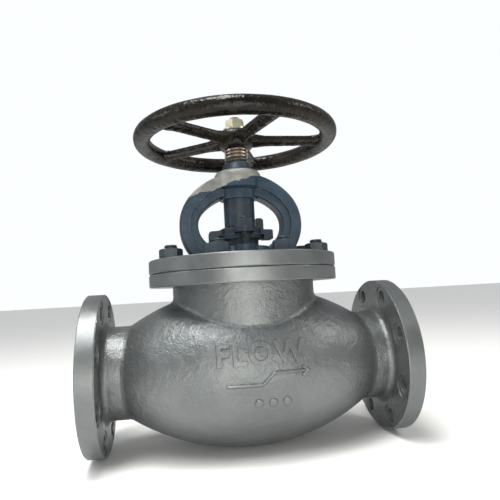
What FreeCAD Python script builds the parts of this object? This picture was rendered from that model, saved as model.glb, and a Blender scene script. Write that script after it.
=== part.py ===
import FreeCAD, Part
import math
import os

# Marine globe valve, nominal size 100, outside screw and yoke, bolted bonnet, rising stem and handwheel.
# Frame: origin on the pipe axis in the plane of the inlet flange's rim, where the bolt holes open; the
# raised face stands proud of it. +X along the flow, +Z up the stem. Millimetres.

Vector = FreeCAD.Vector
AXIS_X = Vector(1, 0, 0)
AXIS_Z = Vector(0, 0, 1)

# ---------------------------------------------------------------- driving dimensions
# End flanges
face_to_face = 426.0          # inlet raised face to outlet raised face
bore = 100.0                  # waterway at the flanges
flange_od = 210.0
flange_rim = 22.0             # flange thickness without the raised face
raised_face_od = 151.0
raised_face_height = 2.0
pipe_bolt_circle = 175.0
pipe_bolt_count = 8
pipe_bolt_hole = 19.0
spot_face_od = 31.0
spot_face_depth = 1.0
flange_edge = 1.2             # chamfer on machined rims

# Body casting
wall = 12.0                   # shell thickness
branch_od = 122.0             # short pipe behind each flange
globe_crown = 107.0           # height of the globe above the pipe axis at the middle
globe_arc_radius = 289.0      # bulge of the globe along the flow
globe_widening = 1.08         # the globe is a little wider than it is high
neck_bore = 158.0             # round neck under the bonnet flange
neck_wall = 19.5
branch_fillet = 8.0           # between each pipe end and the back of its flange
joint_height = 128.0          # underside of the bonnet flange above the pipe axis
joint_gap = 1.0               # metal faces stay this far apart, the gasket carries the load
body_top_flange = 17.0
bonnet_flange = 18.0
bonnet_flange_edge = 23.5     # flange beyond the stud circle
crotch_fillet = 9.0

# Seat and partition
seat_bore = 98.0
seat_height = -4.0            # seating face, measured from the pipe axis
partition = 13.0
seat_ring_step = 5.0          # seat ring flange beyond its barrel
seat_ring_flange = 4.0
seat_ring_wall = 8.0
seat_land = 5.0               # radial width of the seating face

# Bonnet joint
gasket_width = 6.5
gasket_thickness = 2.0
recess_depth = 5.0
recess_clearance = 0.5
bonnet_stud_inset = 21.0      # stud centres outside the gasket
bonnet_stud_count = 8
bonnet_stud = 18.0
bonnet_nut_flats = 27.0
bonnet_nut_height = 13.5
bonnet_stud_tip = 5.0
stud_hole_clearance = 1.0

# Stuffing box, measured from the bonnet joint or the top of the bonnet flange
stem_diameter = 34.0
packing_section = 8.5         # square rings
packing_count = 4
packing_clearance = 0.05
bottom_ring = 4.0
stuffing_box_below = 22.0     # floor of the box below the bonnet joint
stuffing_box_above = 15.0     # mouth of the box above the bonnet flange
stuffing_box_wall = 14.5
guide_clearance = 0.6         # stem in the casting, on the diameter
back_seat_wall = 8.0
back_seat_thickness = 12.0
back_seat_land = 2.0          # casting left between the bush and the stuffing box
back_seat_clearance = 0.5

# Gland
gland_clearance = 0.4
gland_collar_width = 5.5      # collar beyond the sleeve, all round
gland_collar = 6.0
gland_standoff = 17.5         # underside of the gland plate above the mouth of the box
gland_plate = 8.0
gland_crown = 3.0
gland_stud = 12.0
gland_stud_span = 90.0        # between the two gland studs
gland_stud_depth = 14.0       # screwed length in the bonnet lugs
gland_nut_flats = 19.0
gland_nut_height = 10.0
gland_stud_tip = 3.0
gland_lug_radius = 15.0
gland_cheek_reach = 14.0      # side cheeks beyond the collar
gland_cheek_drop = 6.5        # their underside below the plate's
gland_upstand = 16.0          # block that stands up on the outlet side cheek

# Yoke, heights above the bonnet flange
yoke_centre_height = 47.0     # middle of the yoke window
yoke_window = (60.0, 43.5)    # half width and half height of the window
yoke_band = (15.0, 17.0)      # thickness of the outer band, sideways and upwards
yoke_web = (11.0, 13.0)       # thickness of the web inside the band
yoke_band_width = 40.0        # across the arm, front to back
yoke_web_width = 31.0
yoke_edge = 3.0
boss_bottom_height = 84.0
boss_step_height = 100.0      # the wide upper barrel starts here
boss_top_height = 125.0
boss_upper_wall = 11.5
boss_lower_wall = 5.0
boss_shoulder = 8.0

# Yoke bush (stem nut) and stem
bush_wall = 4.85
bush_proud = 10.0             # above the boss
bush_cone_height = 8.0
bush_threaded = 55.0
bush_gland_gap = 1.5
bush_counterbore = 1.5        # clearance round the thread below the threaded length
thread_clearance = 0.3        # stem crest in the bush, on the diameter
grub_screw = 8.0
thread_pitch = 5.0
thread_depth = 2.6
thread_runout = 2.0
lift = 28.0                   # stem travel from closed to open
stem_collar_width = 6.0
stem_collar = 8.0
stem_head_width = 5.0
stem_head = 8.0

# Disc
disc_overlap = 1.0            # disc beyond the seating face
disc_thickness = 16.0
disc_hub_wall = 9.0
disc_hub_height = 22.0
disc_pocket_clearance = 0.6
disc_nut_wall = 11.4
disc_nut_height = 10.0
thrust_pad = 3.0

# Handwheel
rim_radius = 133.5            # to the middle of the rim section
rim_section = 24.4
hub_clearance = 23.0          # hub above the yoke bush when closed
hub_od = 52.0
hub_length = 28.0
wheel_offset = 14.3           # middle plane of the rim above the hub's underside
spoke_count = 5
spoke_width = (21.0, 26.0)    # at the hub and at the rim
spoke_depth = (15.0, 10.0)
spoke_rib = 5.0
square_flats = 22.0
square_clearance = 0.2
stem_tip_thread = 16.0
stem_tip_length = 20.0
wheel_washer_od = 34.0
wheel_washer = 3.0
wheel_nut_flats = 24.0
wheel_nut_height = 13.0

# ---------------------------------------------------------------- derived places
centre_x = face_to_face / 2.0
flange_total = flange_rim + raised_face_height
flange_back = centre_x - flange_total
body_joint = joint_height - joint_gap
body_flange_bottom = body_joint - body_top_flange
bonnet_flange_top = joint_height + bonnet_flange
recess_floor = body_joint - recess_depth
gasket_top = recess_floor + gasket_thickness

neck_od = neck_bore + 2.0 * neck_wall
gasket_od = neck_bore + 2.0 * gasket_width
bonnet_stud_circle = gasket_od + 2.0 * bonnet_stud_inset
bonnet_flange_od = bonnet_stud_circle + 2.0 * bonnet_flange_edge

seat_ring_barrel_od = seat_bore + 2.0 * seat_ring_wall
seat_ring_flange_od = seat_ring_barrel_od + 2.0 * seat_ring_step
seat_ring_bottom = seat_height - seat_ring_flange - partition
disc_od = seat_bore + 2.0 * (seat_land + disc_overlap)
disc_hub_top = seat_height + disc_thickness + disc_hub_height
disc_nut_od = stem_diameter + 2.0 * disc_nut_wall
disc_hub_od = disc_nut_od + 2.0 * disc_hub_wall
stem_head_od = stem_diameter + 2.0 * stem_head_width
stem_foot = seat_height + disc_thickness + thrust_pad

stuffing_box_floor = joint_height - stuffing_box_below
stuffing_box_top = bonnet_flange_top + stuffing_box_above
packing_bore = stem_diameter + 2.0 * packing_section
stuffing_box_od = packing_bore + 2.0 * stuffing_box_wall
packing_bottom = stuffing_box_floor + bottom_ring
packing_top = packing_bottom + packing_count * packing_section
back_seat_od = stem_diameter + 2.0 * back_seat_wall
back_seat_bottom = stuffing_box_floor - back_seat_land - back_seat_thickness
stem_collar_od = stem_diameter + 2.0 * stem_collar_width
stem_collar_top = back_seat_bottom - lift - back_seat_clearance

gland_collar_od = packing_bore + 2.0 * gland_collar_width
gland_height = stuffing_box_top + gland_standoff
gland_plate_top = gland_height + gland_plate
gland_crown_top = gland_plate_top + gland_crown

yoke_centre = bonnet_flange_top + yoke_centre_height
yoke_step = (yoke_window[0] + yoke_web[0], yoke_window[1] + yoke_web[1])
yoke_outer = (yoke_step[0] + yoke_band[0], yoke_step[1] + yoke_band[1])
boss_bottom = bonnet_flange_top + boss_bottom_height
boss_step = bonnet_flange_top + boss_step_height
boss_top = bonnet_flange_top + boss_top_height
bush_bore = stem_diameter + thread_clearance
bush_od = bush_bore + 2.0 * bush_wall
boss_lower_od = bush_od + 2.0 * boss_lower_wall
boss_upper_od = bush_od + 2.0 * boss_upper_wall
bush_top = boss_top + bush_proud
bush_bottom = gland_crown_top + bush_gland_gap
bush_threaded_bottom = bush_top - bush_threaded
thread_bottom = bush_threaded_bottom - lift - thread_runout
hub_bottom = bush_top + hub_clearance
hub_top = hub_bottom + hub_length
wheel_height = hub_bottom + wheel_offset
stem_tip = hub_top + stem_tip_length

os.makedirs("parts", exist_ok=True)


# ---------------------------------------------------------------- helpers
def cylinder(diameter, bottom, top, x=0.0, y=0.0):
    """Upright cylinder in the valve's middle frame."""
    return Part.makeCylinder(diameter / 2.0, top - bottom, Vector(x, y, bottom), AXIS_Z)


def tube(outer, inner, bottom, top, x=0.0, y=0.0):
    return cylinder(outer, bottom, top, x, y).cut(cylinder(inner, bottom - 1.0, top + 1.0, x, y))


def cone(bottom_diameter, top_diameter, bottom, top, x=0.0, y=0.0):
    place = Vector(x, y, bottom)
    return Part.makeCone(bottom_diameter / 2.0, top_diameter / 2.0, top - bottom, place, AXIS_Z)


def box(x0, x1, y0, y1, z0, z1):
    return Part.makeBox(x1 - x0, y1 - y0, z1 - z0, Vector(x0, y0, z0))


def lathe_z(points):
    """Solid turned about the stem axis from an outline of (radius, height) points."""
    outline = [Vector(r, 0, z) for r, z in points]
    wire = Part.makePolygon(outline + [outline[0]])
    return Part.Face(wire).revolve(Vector(0, 0, 0), AXIS_Z, 360.0)


def hexagon_prism(flats, bottom, top, x=0.0, y=0.0, turn=0.0):
    corner = flats / math.sqrt(3.0)
    ring = []
    for index in range(6):
        angle = math.radians(60.0 * index + turn)
        ring.append(Vector(x + corner * math.cos(angle), y + corner * math.sin(angle), bottom))
    return Part.Face(Part.makePolygon(ring + [ring[0]])).extrude(Vector(0, 0, top - bottom))


def hex_nut(flats, hole, bottom, height, x=0.0, y=0.0, turn=0.0):
    """Hexagon nut with both sets of corners chamfered at 30 degrees."""
    top = bottom + height
    corner = 2.0 * flats / math.sqrt(3.0)
    drop = (corner - flats) / 2.0 * math.tan(math.radians(30.0))
    blank = hexagon_prism(flats, bottom, top, x, y, turn)
    envelope = cone(flats, corner, bottom, bottom + drop, x, y)
    envelope = envelope.fuse(cylinder(corner, bottom + drop, top - drop, x, y))
    envelope = envelope.fuse(cone(corner, flats, top - drop, top, x, y))
    return blank.common(envelope).cut(cylinder(hole, bottom - 1.0, top + 1.0, x, y))


def stud(diameter, bottom, top, x=0.0, y=0.0):
    """Plain stud with a chamfered tip at each end."""
    tip = diameter * 0.1
    body = cylinder(diameter, bottom + tip, top - tip, x, y)
    body = body.fuse(cone(diameter - 2.0 * tip, diameter, bottom, bottom + tip, x, y))
    return body.fuse(cone(diameter, diameter - 2.0 * tip, top - tip, top, x, y)).removeSplitter()


def polar(count, circle, offset_degrees):
    """Places on a bolt circle about the stem axis."""
    places = []
    for index in range(count):
        angle = math.radians(360.0 * index / count + offset_degrees)
        places.append((circle / 2.0 * math.cos(angle), circle / 2.0 * math.sin(angle)))
    return places


def fuse_all(shapes):
    result = shapes[0]
    for shape in shapes[1:]:
        result = result.fuse(shape)
    return result.removeSplitter()


def round_edges(shape):
    return [edge for edge in shape.Edges if isinstance(edge.Curve, Part.Circle)]


def save(name, solids):
    """Moves the solids from the valve's middle to the inlet flange and writes one file per sub-part."""
    moved = []
    for solid in solids:
        copy = solid.copy()
        copy.translate(Vector(centre_x - raised_face_height, 0, 0))
        moved.extend(copy.Solids)
    shape = moved[0] if len(moved) == 1 else Part.makeCompound(moved)
    shape.exportStep("parts/" + name + ".step")
    print(name, len(moved), "solid(s)", all(s.isValid() for s in moved))


# ---------------------------------------------------------------- body casting
def barrel(crown, arc_radius, end_radius, widening):
    """Globe: an arc turned about the pipe axis, then widened sideways."""
    half = math.sqrt(arc_radius ** 2 - (arc_radius - crown + end_radius) ** 2)
    arc = Part.Arc(Vector(-half, 0, end_radius), Vector(0, 0, crown), Vector(half, 0, end_radius))
    outline = [arc.toShape()]
    corners = [Vector(half, 0, end_radius), Vector(half, 0, 0)]
    corners += [Vector(-half, 0, 0), Vector(-half, 0, end_radius)]
    for start, end in zip(corners[:-1], corners[1:]):
        outline.append(Part.makeLine(start, end))
    solid = Part.Face(Part.Wire(outline)).revolve(Vector(0, 0, 0), AXIS_X, 360.0)
    wide = FreeCAD.Matrix()
    wide.scale(1.0, widening, 1.0)
    return solid.transformGeometry(wide)


def pipe_run(diameter, half_length):
    return Part.makeCylinder(diameter / 2.0, 2.0 * half_length, Vector(-half_length, 0, 0), AXIS_X)


def end_flange(side):
    """Round flange with raised face, eight holes astride the centre lines and spot faces behind."""
    inward = Vector(-side, 0, 0)
    rim_face = side * (centre_x - raised_face_height)
    rim = Part.makeCylinder(flange_od / 2.0, flange_rim, Vector(rim_face, 0, 0), inward)
    rim = rim.makeChamfer(flange_edge, [edge for edge in rim.Edges if isinstance(edge.Curve, Part.Circle)])
    face_centre = Vector(side * centre_x, 0, 0)
    face = Part.makeCylinder(raised_face_od / 2.0, raised_face_height + 1.0, face_centre, inward)
    flange = rim.fuse(face)
    half_step = 180.0 / pipe_bolt_count
    back = side * (flange_back + spot_face_depth)
    for y, z in polar(pipe_bolt_count, pipe_bolt_circle, half_step):
        mouth = Vector(rim_face + side, y, z)
        hole = Part.makeCylinder(pipe_bolt_hole / 2.0, flange_rim + 2.0, mouth, inward)
        spot = Part.makeCylinder(spot_face_od / 2.0, spot_face_depth + wall, Vector(back, y, z), inward)
        flange = flange.cut(hole).cut(spot)
    return flange


def branch_root(side):
    """Concave ring that blends the pipe end into the back of its flange."""
    inner = branch_od / 2.0
    back = side * flange_back
    front = side * (flange_back - branch_fillet)
    bend = branch_fillet * (1.0 - math.sqrt(0.5))
    arc = Part.Arc(Vector(back, 0, inner + branch_fillet), Vector(back - side * bend, 0, inner + bend),
                   Vector(front, 0, inner))
    corners = [Vector(front, 0, inner), Vector(front, 0, inner - 2.0), Vector(back + side, 0, inner - 2.0),
               Vector(back + side, 0, inner + branch_fillet), Vector(back, 0, inner + branch_fillet)]
    outline = [arc.toShape()]
    for start, end in zip(corners[:-1], corners[1:]):
        outline.append(Part.makeLine(start, end))
    return Part.Face(Part.Wire(outline)).revolve(Vector(0, 0, 0), AXIS_X, 360.0)


def partition_wall():
    """S-shaped wall between the chambers: from the top of the inlet down to the seat, level under
    the seat ring, then down to the bottom of the outlet."""
    level_bottom = seat_ring_bottom
    level_top = seat_height - seat_ring_flange
    half = seat_ring_flange_od / 2.0
    run = flange_back - 2.0 * wall
    slope = 1.4 * partition
    points = [
        (-half, level_bottom), (half, level_bottom), (run, -globe_crown), (run + slope, -globe_crown),
        (half + slope, level_top), (-half, level_top), (-run, globe_crown), (-run - slope, globe_crown),
        (-half - slope, level_bottom)]
    outline = [Vector(x, 0, z) for x, z in points[1:]]
    profile = Part.Face(Part.makePolygon(outline + [outline[0]]))
    width = globe_crown * globe_widening
    plate = profile.extrude(Vector(0, 2.0 * width, 0))
    plate.translate(Vector(0, -width, 0))
    return plate


def make_body():
    end_radius = branch_od / 2.0 / globe_widening - 1.0
    outer = barrel(globe_crown, globe_arc_radius, end_radius, globe_widening)
    outer = outer.fuse(pipe_run(branch_od, flange_back + 1.0))
    outer = outer.fuse(cylinder(neck_od, 0.0, body_flange_bottom + 1.0)).removeSplitter()
    crotch = [edge for edge in outer.Edges if edge.BoundBox.YLength > neck_od / 3.0]
    crotch = [edge for edge in crotch if not isinstance(edge.Curve, (Part.Circle, Part.Line))]
    outer = outer.makeFillet(crotch_fillet, crotch)

    cavity_end = bore / 2.0 / globe_widening - 1.0
    cavity = barrel(globe_crown - wall, globe_arc_radius - wall, cavity_end, globe_widening)
    waterway = pipe_run(bore, centre_x + 1.0)
    hollow = cavity.fuse(waterway)
    divider = partition_wall().common(hollow)
    hollow = hollow.fuse(cylinder(neck_bore, 0.0, body_joint + 1.0))

    top_flange = cylinder(bonnet_flange_od, body_flange_bottom, body_joint)
    top_flange = top_flange.makeChamfer(flange_edge, round_edges(top_flange))
    shell = outer.fuse(top_flange)
    for side in (-1, 1):
        shell = shell.fuse(end_flange(side)).fuse(branch_root(side))
    shell = shell.cut(hollow)
    shell = shell.cut(cylinder(gasket_od + recess_clearance, recess_floor, body_joint + 1.0))
    for x, y in polar(bonnet_stud_count, bonnet_stud_circle, 180.0 / bonnet_stud_count):
        shell = shell.cut(cylinder(bonnet_stud, body_flange_bottom - 1.0, body_joint + 1.0, x, y))

    seat_hole = cylinder(seat_ring_barrel_od, seat_ring_bottom - 1.0, seat_height)
    counterbore = cylinder(seat_ring_flange_od, seat_height - seat_ring_flange, seat_height + wall)
    return shell.fuse(divider).cut(seat_hole).cut(counterbore).removeSplitter()


def make_seat_ring():
    bevel = seat_land / 2.0
    inner = seat_bore / 2.0
    barrel_radius = seat_ring_barrel_od / 2.0
    flange_radius = seat_ring_flange_od / 2.0
    shoulder = seat_height - seat_ring_flange
    ring = lathe_z([
        (inner, seat_ring_bottom), (barrel_radius, seat_ring_bottom), (barrel_radius, shoulder),
        (flange_radius, shoulder), (flange_radius, seat_height - bevel),
        (inner + seat_land + bevel, seat_height),
        (inner, seat_height)])
    return ring


# ---------------------------------------------------------------- bonnet and yoke, one casting
def oval_prism(half_width, half_height, thickness):
    """Upright plate across the stem axis, an oval of four tangent arcs about the yoke's centre."""
    end_radius = half_height ** 2 / half_width
    end_centre = half_width - end_radius
    rise = half_height - end_radius
    crown_radius = (end_centre ** 2 + half_height ** 2 - end_radius ** 2) / (2.0 * rise)
    share = end_radius / (crown_radius - end_radius)
    join_x = end_centre * (1.0 + share)
    join_z = (crown_radius - half_height) * share
    stops = [(half_width, 0.0), (join_x, join_z), (0.0, half_height), (-join_x, join_z), (-half_width, 0.0),
             (-join_x, -join_z), (0.0, -half_height), (join_x, -join_z), (half_width, 0.0)]
    points = [Vector(x, -thickness / 2.0, yoke_centre + z) for x, z in stops]
    arcs = []
    for first in (-1, 1, 3, 5):
        start = points[first] if first > 0 else points[7]
        arcs.append(Part.Arc(start, points[first + 1], points[first + 2]).toShape())
    return Part.Face(Part.Wire(arcs)).extrude(Vector(0, thickness, 0))


def yoke_arms():
    """Oval ring of stepped section: a wide outer band over a narrower web."""
    middle = (yoke_step[0] + yoke_band[0] / 2.0, yoke_step[1] + yoke_band[1] / 2.0)
    outer = oval_prism(yoke_outer[0], yoke_outer[1], yoke_band_width)
    step = oval_prism(yoke_step[0], yoke_step[1], yoke_band_width + 2.0)
    web = oval_prism(middle[0], middle[1], yoke_web_width)
    window = oval_prism(yoke_window[0], yoke_window[1], yoke_band_width + 2.0)
    ring = outer.cut(step).fuse(web).cut(window).removeSplitter()
    ring = ring.makeFillet(yoke_edge, [edge for edge in ring.Edges if on_outer_corner(edge)])
    above = box(-yoke_outer[0] - 1.0, yoke_outer[0] + 1.0, -yoke_band_width, yoke_band_width,
                bonnet_flange_top - bonnet_flange / 2.0, boss_top - 1.25 * boss_shoulder)
    return ring.common(above)


def on_outer_corner(edge):
    """True on the long corners of the band and of the window, and not on the step between them."""
    middle = edge.valueAt((edge.FirstParameter + edge.LastParameter) / 2.0)
    reach = abs(middle.x) + abs(middle.z - yoke_centre)
    along = edge.BoundBox.YLength < 0.1
    return along and any(abs(reach - half) < 0.1 for half in yoke_outer + yoke_window)


def make_bonnet():
    flange = cylinder(bonnet_flange_od, joint_height, bonnet_flange_top)
    flange = flange.makeChamfer(flange_edge, round_edges(flange))
    spigot = cylinder(gasket_od, gasket_top, joint_height + 1.0)
    inner_boss = cone(back_seat_od + wall, stuffing_box_od + wall, back_seat_bottom, joint_height + 1.0)
    upper_boss = cone(stuffing_box_od + wall, stuffing_box_od, bonnet_flange_top - 1.0, stuffing_box_top)
    casting = fuse_all([flange, spigot, inner_boss, upper_boss])
    for side in (-1, 1):
        lug_y = side * gland_stud_span / 2.0
        lug = cylinder(2.0 * gland_lug_radius, bonnet_flange_top - 1.0, stuffing_box_top, 0.0, lug_y)
        casting = casting.fuse(lug)

    boss = cylinder(boss_lower_od, boss_bottom, boss_step)
    upper = cylinder(boss_upper_od, boss_step, boss_top)
    top_edge = [edge for edge in round_edges(upper) if edge.BoundBox.ZMin > boss_step + 1.0]
    upper = upper.makeFillet(boss_shoulder, top_edge)
    taper = cone(boss_lower_od, boss_upper_od, boss_step - boss_shoulder / 2.0, boss_step)
    yoke = fuse_all([boss, taper, upper]).fuse(yoke_arms())
    casting = casting.fuse(yoke)

    casting = casting.cut(cylinder(bush_od, bush_bottom, boss_top + 1.0))
    casting = casting.cut(cylinder(packing_bore + packing_clearance, stuffing_box_floor, yoke_centre))
    casting = casting.cut(cylinder(stem_diameter + guide_clearance, back_seat_bottom - 1.0, yoke_centre))
    recess_top = back_seat_bottom + back_seat_thickness
    casting = casting.cut(cylinder(back_seat_od, back_seat_bottom - 1.0, recess_top))
    for x, y in polar(bonnet_stud_count, bonnet_stud_circle, 180.0 / bonnet_stud_count):
        hole = bonnet_stud + stud_hole_clearance
        casting = casting.cut(cylinder(hole, joint_height - 1.0, bonnet_flange_top + 1.0, x, y))
    for side in (-1, 1):
        lug_y = side * gland_stud_span / 2.0
        blind = stuffing_box_top - gland_stud_depth
        casting = casting.cut(cylinder(gland_stud, blind, yoke_centre, 0.0, lug_y))
    grub_height = (boss_step + boss_top) / 2.0
    on_axis = Vector(0, 0, grub_height)
    grub_hole = Part.makeCylinder(grub_screw / 2.0, boss_upper_od, on_axis, Vector(0, 1, 0))
    return casting.cut(grub_hole).removeSplitter()


def make_grub_screw():
    """Locks the yoke bush from behind the boss; slotted end just under the surface."""
    grub_height = (boss_step + boss_top) / 2.0
    start = bush_od / 2.0
    length = (boss_upper_od - bush_od) / 2.0 - 1.5
    screw = Part.makeCylinder(grub_screw / 2.0, length, Vector(0, start, grub_height), Vector(0, 1, 0))
    end = start + length
    slot = box(-grub_screw, grub_screw, end - 2.0, end + 1.0, grub_height - 0.7, grub_height + 0.7)
    return screw.cut(slot)


# ---------------------------------------------------------------- small turned parts
def make_disc():
    """Flat-seated plug disc with a hub that holds the stem head."""
    bottom = seat_height
    rim_top = bottom + disc_thickness
    hub_top = rim_top + disc_hub_height
    radius = disc_od / 2.0
    hub = disc_hub_od / 2.0
    disc = lathe_z([
        (0, bottom - 3.0), (seat_bore / 2.0 - 4.0, bottom - 3.0), (seat_bore / 2.0 - 2.0, bottom),
        (radius, bottom), (radius, rim_top - 4.0), (radius - 4.0, rim_top), (hub, rim_top),
        (hub, hub_top - 2.0), (hub - 2.0, hub_top),
        (0, hub_top)])
    pocket = cylinder(stem_head_od + disc_pocket_clearance, rim_top, hub_top - disc_nut_height)
    return disc.cut(pocket).cut(cylinder(disc_nut_od, hub_top - disc_nut_height, hub_top + 1.0))


def make_disc_nut():
    top = disc_hub_top
    nut = tube(disc_nut_od, stem_diameter + 2.0 * disc_pocket_clearance, top - disc_nut_height, top)
    for x, y in polar(4, stem_diameter + 14.0, 45.0):
        nut = nut.cut(cylinder(4.0, top - 5.0, top + 1.0, x, y))
    return nut


def threaded_rod(diameter, bottom, top):
    """Rod with a trapezoidal screw thread, its groove swept along a right-hand helix."""
    rod = cylinder(diameter, bottom, top)
    root = diameter / 2.0 - thread_depth
    crest = diameter / 2.0 + 0.5
    start = bottom - thread_pitch
    taper = 0.0
    helix = Part.makeLongHelix(thread_pitch, top - bottom + 2.0 * thread_pitch, root, taper)
    helix.translate(Vector(0, 0, start))
    narrow = 0.19 * thread_pitch
    wide = narrow + (crest - root) * math.tan(math.radians(15.0))
    corners = [(root, -narrow), (crest, -wide), (crest, wide), (root, narrow)]
    outline = [Vector(r, 0, start + z) for r, z in corners]
    groove = Part.makePolygon(outline + [outline[0]])
    cutter = Part.Wire(helix).makePipeShell([groove], True, True)
    return rod.cut(cutter)


def make_stem():
    """Stem from the head in the disc up to the threaded tip above the handwheel."""
    foot = stem_foot
    shank = cylinder(stem_diameter, foot + stem_head, thread_bottom)
    head = cylinder(stem_head_od, foot, foot + stem_head)
    collar_bottom = stem_collar_top - stem_collar
    collar = cone(stem_diameter, stem_collar_od, collar_bottom - 4.0, collar_bottom)
    collar = collar.fuse(cylinder(stem_collar_od, collar_bottom, stem_collar_top - 3.0))
    collar = collar.fuse(cone(stem_collar_od, stem_collar_od - 6.0, stem_collar_top - 3.0, stem_collar_top))
    screw = threaded_rod(stem_diameter, thread_bottom, hub_bottom)
    half = square_flats / 2.0
    square = box(-half, half, -half, half, hub_bottom, hub_top)
    square = square.common(cylinder(stem_diameter - 2.0, hub_bottom, hub_top))
    tip = stud(stem_tip_thread, hub_top - 2.0, stem_tip)
    return fuse_all([shank, head, collar, screw, square, tip])


def make_yoke_bush():
    barrel_top = bush_top - bush_cone_height
    bush = cylinder(bush_od, bush_bottom, barrel_top)
    bush = bush.fuse(cone(bush_od, bush_bore + bush_wall, barrel_top, bush_top))
    bush = bush.cut(cylinder(bush_bore, bush_bottom - 1.0, bush_top + 1.0))
    counterbore = cylinder(bush_bore + bush_counterbore, bush_bottom - 1.0, bush_threaded_bottom)
    return bush.cut(counterbore).removeSplitter()


def make_back_seat():
    top = back_seat_bottom + back_seat_thickness
    bush = tube(back_seat_od, stem_diameter + guide_clearance, back_seat_bottom, top)
    bevel = cone(stem_collar_od, stem_collar_od - 8.0, back_seat_bottom - 1.0, back_seat_bottom + 3.0)
    return bush.cut(bevel)


def packing_ring(level):
    bottom = packing_bottom + level * packing_section
    return tube(packing_bore, stem_diameter + 2.0 * packing_clearance, bottom, bottom + packing_section)


# ---------------------------------------------------------------- gland
def make_gland():
    """Follower: a sleeve on the packing with a collar under the gland flange."""
    inner = stem_diameter + gland_clearance
    sleeve = tube(packing_bore - gland_clearance, inner, packing_top, gland_height - gland_collar)
    collar = tube(gland_collar_od, inner, gland_height - gland_collar, gland_height)
    return sleeve.fuse(collar).removeSplitter()


def side_cheek(side):
    """Ear beside the gland, sloping down and out; its outer end is blunt."""
    root = side * (gland_collar_od / 2.0 - packing_section)
    collar = side * (gland_collar_od / 2.0 + 1.0)
    tip = side * (gland_collar_od / 2.0 + gland_cheek_reach)
    low = gland_height - gland_cheek_drop
    corners = [
        (root, gland_height), (collar, gland_height), (collar, low), (tip, low),
        (tip, gland_plate_top - 3.0),
        (tip - side * 2.0, gland_plate_top - 1.5), (collar, gland_plate_top - 1.0), (root, gland_crown_top)]
    outline = [Vector(x, 0, z) for x, z in corners]
    width = 2.0 * (gland_lug_radius - 2.0)
    cheek = Part.Face(Part.makePolygon(outline + [outline[0]])).extrude(Vector(0, width, 0))
    cheek.translate(Vector(0, -width / 2.0, 0))
    return cheek


def make_gland_flange():
    """Cast flange on the gland: a stud lug front and back, a cheek on each side and one upstand."""
    end_radius = gland_lug_radius - 2.0
    half_span = gland_stud_span / 2.0
    top = gland_plate_top
    plate = cylinder(gland_collar_od, gland_height, top)
    plate = plate.fuse(box(-end_radius, end_radius, -half_span, half_span, gland_height, top))
    crown = cone(gland_collar_od, stem_diameter + 2.0 * packing_section, top, gland_crown_top)
    upstand = box(bush_od / 2.0 + 1.5, gland_collar_od / 2.0 + 2.0, -end_radius / 2.0, end_radius / 2.0,
                  gland_height, top + gland_upstand)
    slanted = [e for e in upstand.Edges if e.BoundBox.XMin > gland_collar_od / 2.0 and e.BoundBox.ZMin > top]
    upstand = upstand.makeChamfer(3.0, slanted)
    parts = [plate, crown, upstand, side_cheek(-1), side_cheek(1)]
    for side in (-1, 1):
        parts.append(cylinder(2.0 * end_radius, gland_height, top, 0.0, side * half_span))
    flange = fuse_all(parts)
    flange = flange.cut(cylinder(stem_diameter + 3.0, gland_height - 1.0, gland_crown_top + 1.0))
    for side in (-1, 1):
        hole = gland_stud + stud_hole_clearance
        flange = flange.cut(cylinder(hole, gland_height - 1.0, gland_crown_top + 1.0, 0.0, side * half_span))
    return flange.removeSplitter()


# ---------------------------------------------------------------- handwheel
def spoke(angle):
    """Tapered flat bar with a rib underneath, from the hub into the rim."""
    sections = []
    for radius, width, depth in ((hub_od / 4.0, spoke_width[0], spoke_depth[0]),
                                 (rim_radius, spoke_width[1], spoke_depth[1])):
        half = width / 2.0
        top = wheel_height + depth / 2.0
        flat = wheel_height - depth / 2.0 + spoke_rib
        rib = wheel_height - depth / 2.0
        corners = [(-half, top), (half, top), (half, flat)]
        corners += [(half / 2.0, rib), (-half / 2.0, rib), (-half, flat)]
        outline = [Vector(radius, y, z) for y, z in corners]
        sections.append(Part.makePolygon(outline + [outline[0]]))
    bar = Part.makeLoft(sections, True, True)
    bar.rotate(Vector(0, 0, 0), AXIS_Z, angle)
    return bar


def make_handwheel():
    rim = Part.makeTorus(rim_radius, rim_section / 2.0, Vector(0, 0, wheel_height), AXIS_Z)
    hub = cylinder(hub_od, hub_bottom, hub_top)
    hub = hub.makeFillet(hub_od / 8.0, round_edges(hub))
    wheel = rim.fuse(hub)
    for index in range(spoke_count):
        wheel = wheel.fuse(spoke(360.0 * index / spoke_count))
    half = (square_flats + square_clearance) / 2.0
    round_hole = cylinder(stem_diameter - 2.0 + square_clearance, hub_bottom - 1.0, hub_top + 1.0)
    square = box(-half, half, -half, half, hub_bottom - 1.0, hub_top + 1.0)
    return wheel.cut(square.common(round_hole)).removeSplitter()


# ---------------------------------------------------------------- write every sub-part
half_step = 180.0 / bonnet_stud_count
bonnet_places = polar(bonnet_stud_count, bonnet_stud_circle, half_step)
gland_places = [(0.0, -gland_stud_span / 2.0), (0.0, gland_stud_span / 2.0)]
bonnet_stud_top = bonnet_flange_top + bonnet_nut_height + bonnet_stud_tip
gland_stud_top = gland_plate_top + gland_nut_height + gland_stud_tip
wheel_nut_bottom = hub_top + wheel_washer

save("body", [make_body()])
save("seat_ring", [make_seat_ring()])
save("disc", [make_disc()])
save("disc_nut", [make_disc_nut()])
save("thrust_pad", [cylinder(stem_head_od - 8.0, stem_foot - thrust_pad, stem_foot)])
save("stem", [make_stem()])
save("bonnet", [make_bonnet()])
save("bonnet_gasket", [tube(gasket_od, neck_bore, recess_floor, gasket_top)])

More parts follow.
